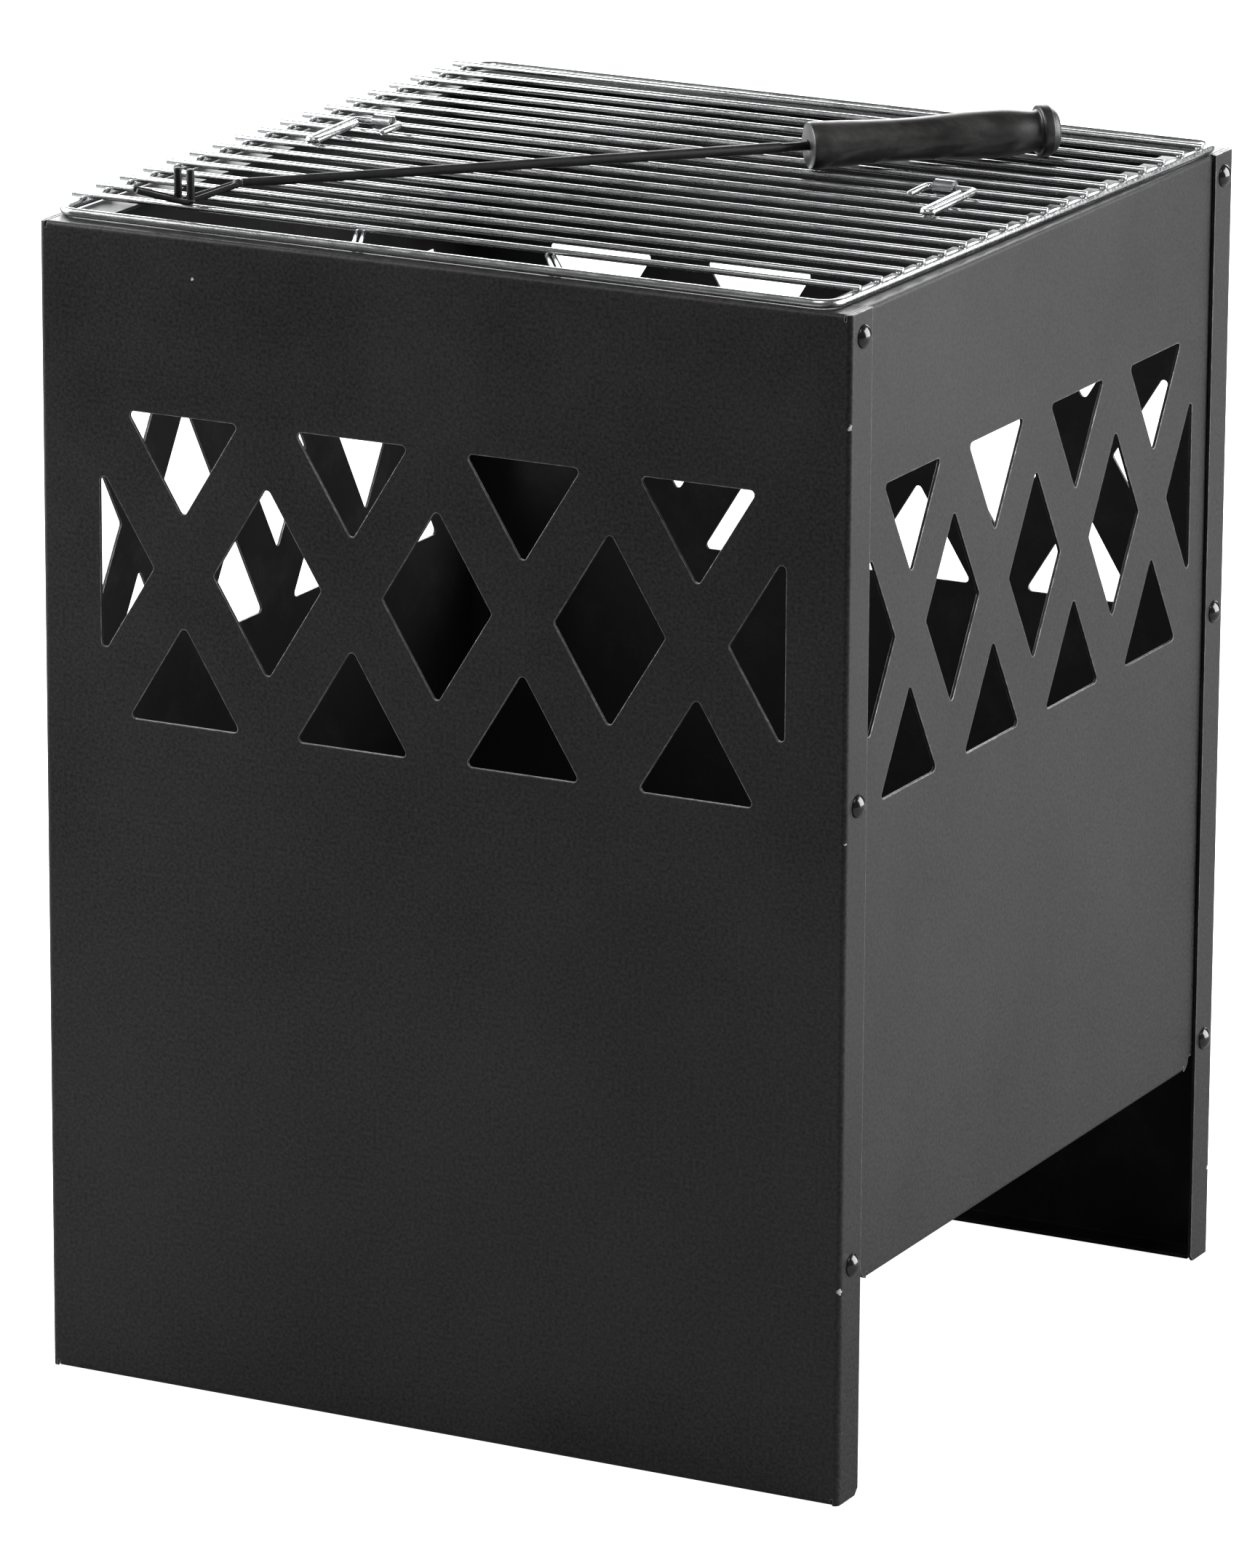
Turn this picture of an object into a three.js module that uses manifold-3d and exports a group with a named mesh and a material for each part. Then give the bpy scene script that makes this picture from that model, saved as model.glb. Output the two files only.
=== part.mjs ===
// Fire pit with grate: a bolted sheet-steel box, open below, with a wire grate and its lifter on top.
// Millimetres, +Z up, origin on the floor under the middle of the box. The front plate faces -Y.
import * as THREE from 'three';
import { mergeVertices } from 'three/addons/utils/BufferGeometryUtils.js';
import Module from 'manifold-3d';

const wasm = await Module();
wasm.setup();

// Box
const bodyWidth = 400;
const bodyDepth = 400;
const bodyHeight = 535;
const sheet = 1.5;
const clearance = 0.3;
const bendRadius = 2.5;
const sideFlange = 20;
const topFlange = 20;
const footFlange = 16;
const archHeight = 97;
const panelCorner = 6;

// Lattice of crossed strips, cut through all four walls
const crossPitch = 85;
const crossCount = 4;
const latticeMid = 383;
const latticeHalfHeight = 70.5;
const stripSlope = 0.62;
const stripHalfWidth = 15.2;
const cutCorner = 2;
const sideLatticeShift = -7;

// Corner bolts and nuts
const boltInset = 11;
const boltHeights = { low: 109, middle: 317, top: 524 };
const shankRadius = 3;
const headRadius = 5.25;
const headHeight = 3.3;
const shankLength = 9.5;
const nutFlats = 10;
const nutHeight = 5;

// Fire tray
const trayWidth = 374;
const trayDepth = 388;
const trayHeight = 25;
const traySlots = { columns: 5, rows: 4, length: 46, radius: 4, pitchX: 66, pitchY: 84 };

// Grate
const frameWidth = 386;
const frameDepth = 386;
const frameWire = 2;
const frameCorner = 9;
const barCount = 18;
const barPitch = 20.2;
const barWire = 1.5;
const barOverhang = 4;
const firstBarGap = 23;
const stayWire = 1;
const stayPitch = 3.4;
const stays = [{ x: -40, lean: -11 }, { x: 60, lean: -16 }];
const weldOverlap = 0.4;
const grateOffset = { x: -1, y: 1 };
const grateTurn = THREE.MathUtils.degToRad(-1.1);

// Folding bails of the grate
const bailWire = 1.5;
const bailReach = 144;
const bailBar = 9;
const bailLength = 44;
const bailSplay = 15;
const bailShortLeg = 17;
const bailLegPitch = 4.6;
const sleeveLength = 10;
const sleeveRadius = 3.5;

// Lifter, lying corner to corner on the grate: it rests on the heel of its claw and on the handle's knob
const lifterTurn = THREE.MathUtils.degToRad(43.9);
const lifterHeel = { x: -143, y: -170 };
const clawWire = 1.3;
const clawReach = 22;
const clawRise = 6.7;
const clawPitch = 6.5;
const prongRadius = 1.8;
const prongLength = 15;
const prongStagger = 2.2;
const shaftStart = 26;
const shaftTip = 2;
const shaftButt = 2.5;
const shaftLength = 250;
const tangRadius = 2;
const tangGap = 13;
const tangGrip = 30;
const handleLength = 118;
const knobRadius = 12;
const knobCentre = 113;

const halfWidth = bodyWidth / 2;
const halfDepth = bodyDepth / 2;
const panelFace = halfWidth - sheet - clearance;
const frameLevel = clearance + frameWire;
const barLevel = frameLevel + frameWire - weldOverlap + barWire;
const barTop = barLevel + barWire;

const finishes = {
  blackSteel: { color: 0x232425, roughness: 0.5, metalness: 0.3 },
  blackBolt: { color: 0x161616, roughness: 0.35, metalness: 0.5 },
  zinc: { color: 0x9a9da0, roughness: 0.4, metalness: 0.9 },
  rawSteel: { color: 0x3a3938, roughness: 0.6, metalness: 0.6 },
  chrome: { color: 0xd8dadc, roughness: 0.15, metalness: 1.0 },
  blackRod: { color: 0x1c1c1c, roughness: 0.45, metalness: 0.5 },
  blackPlastic: { color: 0x141414, roughness: 0.4, metalness: 0.0 },
};

const firePit = new THREE.Group();

function addPart(parent, name, geometry, finish) {
  const mesh = new THREE.Mesh(geometry, new THREE.MeshStandardMaterial(finish));
  mesh.name = name;
  parent.add(mesh);
  return mesh;
}

// Booleans

function toSolid(geometry) {
  const bare = geometry.clone();
  bare.deleteAttribute('normal');
  bare.deleteAttribute('uv');
  const merged = mergeVertices(bare, 1e-4);
  return new wasm.Manifold(new wasm.Mesh({
    numProp: 3,
    vertProperties: new Float32Array(merged.attributes.position.array),
    triVerts: new Uint32Array(merged.index.array),
  }));
}

function toGeometry(solid) {
  const mesh = solid.getMesh();
  const geometry = new THREE.BufferGeometry();
  geometry.setAttribute('position', new THREE.BufferAttribute(new Float32Array(mesh.vertProperties), 3));
  geometry.setIndex(new THREE.BufferAttribute(new Uint32Array(mesh.triVerts), 1));
  geometry.computeVertexNormals();
  return geometry;
}

function block(x0, x1, y0, y1, z0, z1) {
  const geometry = new THREE.BoxGeometry(x1 - x0, y1 - y0, z1 - z0);
  geometry.translate((x0 + x1) / 2, (y0 + y1) / 2, (z0 + z1) / 2);
  return toSolid(geometry);
}

function cylinderAlongX(radius, length, sides) {
  const geometry = new THREE.CylinderGeometry(radius, radius, length, sides);
  geometry.rotateZ(-Math.PI / 2);
  return geometry;
}

// Outlines

function roundedOutline(corners, radius) {
  const outline = new THREE.Shape();
  const count = corners.length;
  corners.forEach((corner, i) => {
    const here = new THREE.Vector2(...corner);
    const towardsLast = new THREE.Vector2(...corners[(i + count - 1) % count]).sub(here).normalize();
    const towardsNext = new THREE.Vector2(...corners[(i + 1) % count]).sub(here).normalize();
    const halfAngle = Math.acos(towardsLast.dot(towardsNext)) / 2;
    const reach = radius / Math.tan(halfAngle);
    const middle = towardsLast.clone().add(towardsNext).normalize();
    const centre = middle.multiplyScalar(radius / Math.sin(halfAngle)).add(here);
    const from = towardsLast.multiplyScalar(reach).add(here).sub(centre);
    const to = towardsNext.multiplyScalar(reach).add(here).sub(centre);
    const clockwise = from.cross(to) < 0;
    outline.absarc(centre.x, centre.y, radius, from.angle(), to.angle(), clockwise);
  });
  outline.closePath();
  return outline;
}

// Openings left between the crossed strips: u runs along the wall and v up from the lattice's middle.
function latticeOpenings() {
  const openings = [];
  const start = -crossPitch * crossCount / 2;
  const apex = stripHalfWidth / stripSlope;
  const baseHalf = (latticeHalfHeight - apex) * stripSlope;
  const sideHalf = crossPitch / 2 - stripHalfWidth;
  const tall = sideHalf / stripSlope;
  for (let i = 0; i < crossCount; i += 1) {
    const u = start + crossPitch * (i + 0.5);
    for (const up of [1, -1]) {
      const base = latticeHalfHeight * up;
      openings.push([[u - baseHalf, base], [u + baseHalf, base], [u, apex * up]]);
    }
  }
  for (let i = 1; i < crossCount; i += 1) {
    const u = start + crossPitch * i;
    openings.push([[u, tall], [u + sideHalf, 0], [u, -tall], [u - sideHalf, 0]]);
  }
  for (const side of [1, -1]) {
    const u = start * side;
    openings.push([[u, tall], [u, -tall], [u + sideHalf * side, 0]]);
  }
  return openings;
}

// Cutters that stand across a wall in the XZ plane, centred on y = 0.
function latticeCutters(shift) {
  return latticeOpenings().map((corners) => {
    const outline = roundedOutline(corners, cutCorner);
    const geometry = new THREE.ExtrudeGeometry(outline, { depth: 10, bevelEnabled: false, curveSegments: 1 });
    geometry.translate(shift, latticeMid, -5);
    geometry.rotateX(Math.PI / 2);
    return toSolid(geometry);
  });
}

// Plates

// Front plate: a channel whose side flanges fold back over the side panels, with a rim and a foot.
function channelPlate() {
  const x = halfWidth;
  const y = halfDepth;
  const inner = bendRadius - sheet;
  const section = new THREE.Shape();
  section.moveTo(-x, -y + sideFlange);
  section.lineTo(-x, -y + bendRadius);
  section.absarc(-x + bendRadius, -y + bendRadius, bendRadius, Math.PI, 1.5 * Math.PI, false);
  section.lineTo(x - bendRadius, -y);
  section.absarc(x - bendRadius, -y + bendRadius, bendRadius, 1.5 * Math.PI, 2 * Math.PI, false);
  section.lineTo(x, -y + sideFlange);
  section.lineTo(x - sheet, -y + sideFlange);
  section.lineTo(x - sheet, -y + bendRadius);
  section.absarc(x - bendRadius, -y + bendRadius, inner, 2 * Math.PI, 1.5 * Math.PI, true);
  section.lineTo(-x + bendRadius, -y + sheet);
  section.absarc(-x + bendRadius, -y + bendRadius, inner, 1.5 * Math.PI, Math.PI, true);
  section.lineTo(-x + sheet, -y + sideFlange);
  section.closePath();
  const channel = new THREE.ExtrudeGeometry(section, { depth: bodyHeight, bevelEnabled: false, curveSegments: 2 });

  const rimReach = panelFace - sheet - clearance;
  const seam = sheet / 2;
  let plate = toSolid(channel);
  plate = plate.add(block(-rimReach, rimReach, -y + seam, -y + topFlange, bodyHeight - sheet, bodyHeight));
  plate = plate.add(block(-x + seam, x - seam, -y + seam, -y + footFlange, 0, sheet));
  for (const cutter of latticeCutters(0)) {
    plate = plate.subtract(cutter.translate(0, -y, 0));
  }
  for (const z of Object.values(boltHeights)) {
    const hole = cylinderAlongX(shankRadius + clearance, bodyWidth + 10, 12);
    hole.translate(0, -y + boltInset, z);
    plate = plate.subtract(toSolid(hole));
  }
  return toGeometry(plate);
}

// Right panel: a flat sheet that ends above the floor, with a rim at the top and a ledge at the bottom.
function sidePanel() {
  const y = halfDepth - sheet - clearance;
  const ear = halfDepth - sideFlange - 4;
  const outline = new THREE.Shape();
  outline.moveTo(-ear + panelCorner, archHeight);
  outline.lineTo(ear - panelCorner, archHeight);
  outline.absarc(ear - panelCorner, archHeight + panelCorner, panelCorner, -Math.PI / 2, 0, false);
  outline.lineTo(y, archHeight + panelCorner);
  outline.lineTo(y, bodyHeight);
  outline.lineTo(-y, bodyHeight);
  outline.lineTo(-y, archHeight + panelCorner);
  outline.lineTo(-ear, archHeight + panelCorner);
  outline.absarc(-ear + panelCorner, archHeight + panelCorner, panelCorner, Math.PI, 1.5 * Math.PI, false);
  const sheetGeometry = new THREE.ExtrudeGeometry(outline, { depth: sheet, bevelEnabled: false, curveSegments: 3 });
  sheetGeometry.rotateX(Math.PI / 2);
  sheetGeometry.rotateZ(Math.PI / 2);
  sheetGeometry.translate(panelFace - sheet, 0, 0);

  const seam = sheet / 2;
  const rimHalf = halfDepth - topFlange - clearance;
  let panel = toSolid(sheetGeometry);
  panel = panel.add(block(
    panelFace - topFlange, panelFace - seam, -rimHalf, rimHalf, bodyHeight - sheet, bodyHeight));
  panel = panel.add(block(
    panelFace - topFlange, panelFace - seam, -ear + panelCorner, ear - panelCorner, archHeight, archHeight + sheet));
  for (const cutter of latticeCutters(sideLatticeShift)) {
    panel = panel.subtract(cutter.rotate(0, 0, 90).translate(panelFace, 0, 0));
  }
  for (const z of Object.values(boltHeights)) {
    for (const end of [-1, 1]) {
      const hole = cylinderAlongX(shankRadius + clearance, 10, 12);
      hole.translate(panelFace, end * (halfDepth - boltInset), z);
      panel = panel.subtract(toSolid(hole));
    }
  }
  return toGeometry(panel);
}

function addWalls() {
  addPart(firePit, 'front_plate', channelPlate(), finishes.blackSteel);
  addPart(firePit, 'back_plate', channelPlate(), finishes.blackSteel).rotation.z = Math.PI;
  addPart(firePit, 'right_panel', sidePanel(), finishes.blackSteel);
  addPart(firePit, 'left_panel', sidePanel(), finishes.blackSteel).rotation.z = Math.PI;
}

// Fasteners, drawn on the +X wall with the head outwards

function boltGeometry() {
  const dome = [
    new THREE.Vector2(0, headHeight),
    new THREE.Vector2(headRadius * 0.55, headHeight * 0.85),
    new THREE.Vector2(headRadius * 0.9, headHeight * 0.42),
    new THREE.Vector2(headRadius, 0),
    new THREE.Vector2(shankRadius, 0),
    new THREE.Vector2(shankRadius, -shankLength),
    new THREE.Vector2(0, -shankLength),
  ].reverse();
  const bolt = new THREE.LatheGeometry(dome, 12);
  bolt.rotateZ(-Math.PI / 2);
  return bolt;
}

function nutGeometry() {
  const outline = new THREE.Shape();
  const corner = nutFlats / Math.sqrt(3);
  for (let i = 0; i < 6; i += 1) {
    const angle = (i + 0.5) * Math.PI / 3;
    if (i === 0) outline.moveTo(corner * Math.cos(angle), corner * Math.sin(angle));
    else outline.lineTo(corner * Math.cos(angle), corner * Math.sin(angle));
  }
  outline.closePath();
  const bore = new THREE.Path();
  bore.absarc(0, 0, shankRadius + clearance, 0, 2 * Math.PI, true);
  outline.holes.push(bore);
  const nut = new THREE.ExtrudeGeometry(outline, { depth: nutHeight, bevelEnabled: false, curveSegments: 6 });
  nut.rotateY(-Math.PI / 2);
  return nut;
}

function addFasteners() {
  const ends = { front: -1, back: 1 };
  const sides = { right: 1, left: -1 };
  const nutFace = panelFace - sheet - clearance / 2;
  for (const [endName, end] of Object.entries(ends)) {
    for (const [sideName, side] of Object.entries(sides)) {
      for (const [levelName, z] of Object.entries(boltHeights)) {
        const place = `${endName}_${sideName}_${levelName}`;
        const y = end * (halfDepth - boltInset);
        const turn = side > 0 ? 0 : Math.PI;
        const bolt = addPart(firePit, `bolt_${place}`, boltGeometry(), finishes.blackBolt);
        bolt.position.set(side * (halfWidth + clearance / 10), y, z);
        bolt.rotation.z = turn;
        const nut = addPart(firePit, `nut_${place}`, nutGeometry(), finishes.zinc);
        nut.position.set(side * nutFace, y, z);
        nut.rotation.z = turn;
      }
    }
  }
}

// Fire tray, resting on the ledges of the side panels
function addTray() {
  const x = trayWidth / 2;
  const y = trayDepth / 2;
  let tray = block(-x, x, -y, y, 0, trayHeight);
  tray = tray.subtract(block(-x + sheet, x - sheet, -y + sheet, y - sheet, sheet, trayHeight + 1));
  for (let column = 0; column < traySlots.columns; column += 1) {
    for (let row = 0; row < traySlots.rows; row += 1) {
      const slotX = (column - (traySlots.columns - 1) / 2) * traySlots.pitchX;
      const slotY = (row - (traySlots.rows - 1) / 2) * traySlots.pitchY;
      const slot = new THREE.Shape();
      const run = traySlots.length / 2 - traySlots.radius;
      slot.absarc(slotX, slotY + run, traySlots.radius, 0, Math.PI, false);
      slot.absarc(slotX, slotY - run, traySlots.radius, Math.PI, 2 * Math.PI, false);
      const cutter = new THREE.ExtrudeGeometry(slot, { depth: 10, bevelEnabled: false, curveSegments: 2 });
      cutter.translate(0, 0, -5);
      tray = tray.subtract(toSolid(cutter));
    }
  }
  const mesh = addPart(firePit, 'fire_tray', toGeometry(tray), finishes.rawSteel);
  mesh.position.z = archHeight + sheet + clearance;
}

// Wire swept along a path of straight runs joined by bends
function bentWire(points, bend, radius, steps) {
  const path = new THREE.CurvePath();
  let from = points[0];
  for (let i = 1; i < points.length - 1; i += 1) {
    const corner = points[i];
    const entry = corner.clone().add(points[i - 1].clone().sub(corner).setLength(bend));
    const exit = corner.clone().add(points[i + 1].clone().sub(corner).setLength(bend));
    path.add(new THREE.LineCurve3(from, entry));
    path.add(new THREE.QuadraticBezierCurve3(entry, corner, exit));
    from = exit;
  }
  path.add(new THREE.LineCurve3(from, points[points.length - 1]));
  const section = new THREE.Shape();
  section.absarc(0, 0, radius, 0, 2 * Math.PI, false);
  return new THREE.ExtrudeGeometry(section, { steps, extrudePath: path, curveSegments: 4, bevelEnabled: false });
}

// Grate

function straightWire(from, to, radius) {
  const run = to.clone().sub(from);
  const wire = new THREE.CylinderGeometry(radius, radius, run.length(), 8);
  const turn = new THREE.Quaternion();
  turn.setFromUnitVectors(new THREE.Vector3(0, 1, 0), run.clone().normalize());
  wire.applyQuaternion(turn);
  const middle = from.clone().add(to).multiplyScalar(0.5);
  wire.translate(middle.x, middle.y, middle.z);
  return wire;
}

function roundedRectangle(width, depth, corner) {
  const x = width / 2;
  const y = depth / 2;
  return roundedOutline([[-x, -y], [x, -y], [x, y], [-x, y]], corner);
}

// The frame's wire is drawn with eight flats: an outline with bevelled edges.
function frameGeometry() {
  const flat = frameWire * Math.tan(Math.PI / 8);
  const bevel = frameWire - flat;
  const outline = roundedRectangle(frameWidth + 2 * flat, frameDepth + 2 * flat, frameCorner + flat);
  outline.holes.push(roundedRectangle(frameWidth - 2 * flat, frameDepth - 2 * flat, frameCorner - flat));
  const frame = new THREE.ExtrudeGeometry(outline, {
    depth: 2 * flat,
    bevelEnabled: true,
    bevelThickness: bevel,
    bevelSize: bevel,
    bevelSegments: 1,
    curveSegments: 3,
  });
  frame.translate(0, 0, bevel);
  return frame;
}

function barDepth(index) {
  return -frameDepth / 2 + firstBarGap + barPitch * index;
}

// The welded grate in one piece: bars along X on the frame, and thin paired stays from the frame's
// front wire to the first bar. Only the bars' left ends stand out past the frame.
function grateGeometry() {
  const left = -frameWidth / 2 - frameWire - barOverhang;
  const right = frameWidth / 2 + frameWire;
  const frame = frameGeometry();
  frame.translate(0, 0, clearance);
  const pieces = [toSolid(frame)];
  for (let i = 0; i < barCount; i += 1) {
    const bar = cylinderAlongX(barWire, right - left, 8);
    bar.translate((left + right) / 2, barDepth(i), barLevel);
    pieces.push(toSolid(bar));
  }
  for (const stay of stays) {
    for (const side of [-1, 1]) {
      const x = stay.x + side * stayPitch / 2;
      pieces.push(toSolid(straightWire(
        new THREE.Vector3(x, -frameDepth / 2, frameLevel),
        new THREE.Vector3(x + stay.lean, barDepth(0), barLevel - barWire + weldOverlap - stayWire),
        stayWire,
      )));
    }
  }
  return toGeometry(pieces.reduce((whole, piece) => whole.add(piece)));
}

function bailGeometry() {
  const inner = -sleeveLength / 2 - 4;
  const drop = -1.7;
  const tip = -bailLength;
  const points = [
    new THREE.Vector3(inner, -bailShortLeg, drop * 0.4),
    new THREE.Vector3(inner, 0, 0),
    new THREE.Vector3(bailSplay, 0, 0),
    new THREE.Vector3(bailSplay, tip, drop),
    new THREE.Vector3(bailSplay - bailLegPitch, tip, drop),
    new THREE.Vector3(bailSplay - bailLegPitch, -7, drop * 0.2),
  ];
  return bentWire(points, 2.2, bailWire, 64);
}

function sleeveGeometry() {
  const ring = new THREE.Shape();
  ring.absarc(0, 0, sleeveRadius, 0, 2 * Math.PI, false);
  const bore = new THREE.Path();
  bore.absarc(0, 0, bailWire + clearance, 0, 2 * Math.PI, true);
  ring.holes.push(bore);
  const sleeve = new THREE.ExtrudeGeometry(ring, { depth: sleeveLength, bevelEnabled: false, curveSegments: 6 });
  sleeve.translate(0, 0, -sleeveLength / 2);
  sleeve.rotateY(Math.PI / 2);
  return sleeve;
}

function addGrate() {
  const grate = new THREE.Group();
  grate.position.set(grateOffset.x, grateOffset.y, bodyHeight);
  grate.rotation.z = grateTurn;
  firePit.add(grate);

  addPart(grate, 'grate_grid', grateGeometry(), finishes.chrome);
  for (const [name, side] of [['left', -1], ['right', 1]]) {
    const hinge = new THREE.Group();
    hinge.position.set(side * bailReach, barDepth(bailBar), barTop + clearance + sleeveRadius);
    grate.add(hinge);
    addPart(hinge, `${name}_bail_sleeve`, sleeveGeometry(), finishes.chrome);
    const bail = bailGeometry();
    if (side < 0) mirrorAcrossX(bail);
    addPart(hinge, `${name}_bail`, bail, finishes.chrome);
  }
}

// Flips a geometry to its left-hand twin and turns its faces out again.
function mirrorAcrossX(geometry) {
  geometry.scale(-1, 1, 1);
  const position = geometry.attributes.position;
  for (let i = 0; i < position.count; i += 3) {
    for (let axis = 0; axis < 3; axis += 1) {
      const held = position.getComponent(i, axis);
      position.setComponent(i, axis, position.getComponent(i + 1, axis));
      position.setComponent(i + 1, axis, held);
    }
  }
}

// Lifter: local +X runs from the claw to the handle, and local z = 0 is its resting plane

function handleGeometry() {
  const profile = new THREE.Path();
  profile.moveTo(0, 0);
  profile.lineTo(9.8, 0);
  profile.quadraticCurveTo(10.9, 0, 10.9, 2);
  profile.bezierCurveTo(10.9, 22, 9.7, 26, 9.7, 44);
  profile.bezierCurveTo(9.7, 64, 11, 68, 11, 90);
  profile.bezierCurveTo(11, 98, 9.6, 98, 9.6, 106);
  profile.quadraticCurveTo(9.6, 108, knobRadius, knobCentre - 3);
  profile.lineTo(knobRadius, knobCentre + 2);
  profile.quadraticCurveTo(knobRadius, handleLength, 9, handleLength);
  profile.lineTo(0, handleLength);
  const handle = new THREE.LatheGeometry(profile.getPoints(4), 18);
  handle.rotateZ(-Math.PI / 2);
  return handle;
}

// Two wires side by side run down from the shaft to the heel and up again to the tip,
// with a prong standing on each heel.
function forkGeometry(shaftLevel) {
  const pieces = [];
  for (const side of [-1, 1]) {
    const y = side * clawPitch / 2;
    pieces.push(toSolid(bentWire([
      new THREE.Vector3(shaftStart - clearance, side * (clawWire + clearance / 2), shaftLevel),
      new THREE.Vector3(0, y, clawWire),
      new THREE.Vector3(-clawReach, y, clawWire + clawRise),
    ], 2, clawWire, 12)));
    const prong = new THREE.CylinderGeometry(prongRadius, prongRadius, prongLength, 8);
    prong.rotateX(Math.PI / 2);
    prong.translate(-side * prongStagger, y - side * (prongRadius - clawWire), clawWire + prongLength / 2);
    pieces.push(toSolid(prong));
  }
  const bridge = cylinderAlongX(clawWire * 0.8, clawPitch, 8);
  bridge.rotateZ(Math.PI / 2);
  bridge.translate(0, 0, clawWire);
  pieces.push(toSolid(bridge));
  return toGeometry(pieces.reduce((whole, piece) => whole.add(piece)));
}

// A tapered rod with a thinner tang that runs on into the handle
function shaftGeometry() {
  const tangEnd = shaftLength + tangGap + tangGrip;
  const profile = [
    new THREE.Vector2(0, 0),
    new THREE.Vector2(shaftTip, 0),
    new THREE.Vector2(shaftButt, shaftLength),
    new THREE.Vector2(tangRadius, shaftLength + 1),
    new THREE.Vector2(tangRadius, tangEnd),
    new THREE.Vector2(0, tangEnd),
  ];
  const shaft = new THREE.LatheGeometry(profile, 12);
  shaft.rotateZ(-Math.PI / 2);
  return shaft;
}

function addLifter() {
  const shaftLevel = clawWire + clawRise;
  const grip = shaftStart + shaftLength + tangGap;
  const lean = Math.atan((knobRadius - shaftLevel) / (grip + knobCentre));

  const place = new THREE.Group();
  place.position.set(lifterHeel.x, lifterHeel.y, bodyHeight + barTop + clearance);
  place.rotation.z = lifterTurn;
  firePit.add(place);
  const lifter = new THREE.Group();
  lifter.rotation.y = -lean;
  place.add(lifter);

  addPart(lifter, 'lifter_fork', forkGeometry(shaftLevel), finishes.blackRod);
  addPart(lifter, 'lifter_shaft', shaftGeometry(), finishes.blackRod).position.set(shaftStart, 0, shaftLevel);

  const bore = cylinderAlongX(tangRadius + clearance, 2 * (tangGrip + clearance), 12);
  const handle = toGeometry(toSolid(handleGeometry()).subtract(toSolid(bore)));
  addPart(lifter, 'lifter_handle', handle, finishes.blackPlastic).position.set(grip, 0, shaftLevel);
}

addWalls();
addFasteners();
addTray();
addGrate();
addLifter();

export default firePit;
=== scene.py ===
# Fire pit with grate: folded sheet, wire and finishes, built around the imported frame. Metres, +Z up.
import bpy
import bmesh
from math import acos, atan, cos, pi, radians, sin, sqrt, tan
from mathutils import Matrix, Vector


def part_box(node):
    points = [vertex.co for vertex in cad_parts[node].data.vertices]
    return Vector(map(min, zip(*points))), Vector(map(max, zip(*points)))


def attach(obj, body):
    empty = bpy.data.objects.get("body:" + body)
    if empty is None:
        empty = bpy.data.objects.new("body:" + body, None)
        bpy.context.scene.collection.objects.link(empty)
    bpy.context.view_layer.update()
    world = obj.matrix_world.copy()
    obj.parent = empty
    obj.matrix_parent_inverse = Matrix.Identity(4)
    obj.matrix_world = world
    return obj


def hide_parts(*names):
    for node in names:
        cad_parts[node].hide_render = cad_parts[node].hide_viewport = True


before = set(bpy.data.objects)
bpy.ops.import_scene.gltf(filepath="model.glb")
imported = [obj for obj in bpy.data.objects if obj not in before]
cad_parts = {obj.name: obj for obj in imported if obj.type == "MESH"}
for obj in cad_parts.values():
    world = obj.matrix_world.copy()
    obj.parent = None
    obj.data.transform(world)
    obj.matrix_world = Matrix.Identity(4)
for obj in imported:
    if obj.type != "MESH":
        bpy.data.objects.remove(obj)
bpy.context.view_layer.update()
mm = 0.001
print("frame loaded:", len(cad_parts), "nodes")


def seatShift(mesh, node):
    # the move that brings the middle of the mesh's box to the middle of the CAD node's box
    low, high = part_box(node)
    spans = [[vertex.co[axis] for vertex in mesh.vertices] for axis in range(3)]
    middle = Vector([(min(span) + max(span)) / 2 for span in spans])
    return (low + high) / 2 - middle


def addObject(name, mesh, material, body, replaced=(), sharpAngle=30, seated=False):
    # a piece that isn't seated yet is moved onto the CAD node that it replaces
    if replaced and not seated:
        mesh.transform(Matrix.Translation(seatShift(mesh, replaced[0])))
    piece = bpy.data.objects.new(name, mesh)
    bpy.context.scene.collection.objects.link(piece)
    mesh.materials.append(material)
    for polygon in mesh.polygons:
        polygon.use_smooth = True
    mesh.set_sharp_from_angle(angle=radians(sharpAngle))
    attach(piece, body)
    if replaced:
        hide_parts(*replaced)


def meshFromRings(name, rings, closedLoop=False):
    # rings of equal size are bridged in order; a closed loop joins the last to the first
    count = len(rings[0])
    points = [point for ring in rings for point in ring]
    faces = []
    spans = len(rings) if closedLoop else len(rings) - 1
    for i in range(spans):
        a = i * count
        b = ((i + 1) % len(rings)) * count
        for j in range(count):
            k = (j + 1) % count
            faces.append((a + j, a + k, b + k, b + j))
    if not closedLoop:
        faces.append(tuple(reversed(range(count))))
        faces.append(tuple(range((len(rings) - 1) * count, len(rings) * count)))
    mesh = bpy.data.meshes.new(name)
    mesh.from_pydata(points, [], faces)
    faceOutwards(mesh)
    return mesh


def faceOutwards(mesh):
    work = bmesh.new()
    work.from_mesh(mesh)
    bmesh.ops.recalc_face_normals(work, faces=work.faces)
    work.to_mesh(mesh)
    work.free()


def joinMeshes(name, meshes):
    work = bmesh.new()
    for mesh in meshes:
        work.from_mesh(mesh)
        bpy.data.meshes.remove(mesh)
    joined = bpy.data.meshes.new(name)
    work.to_mesh(joined)
    work.free()
    return joined


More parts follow.
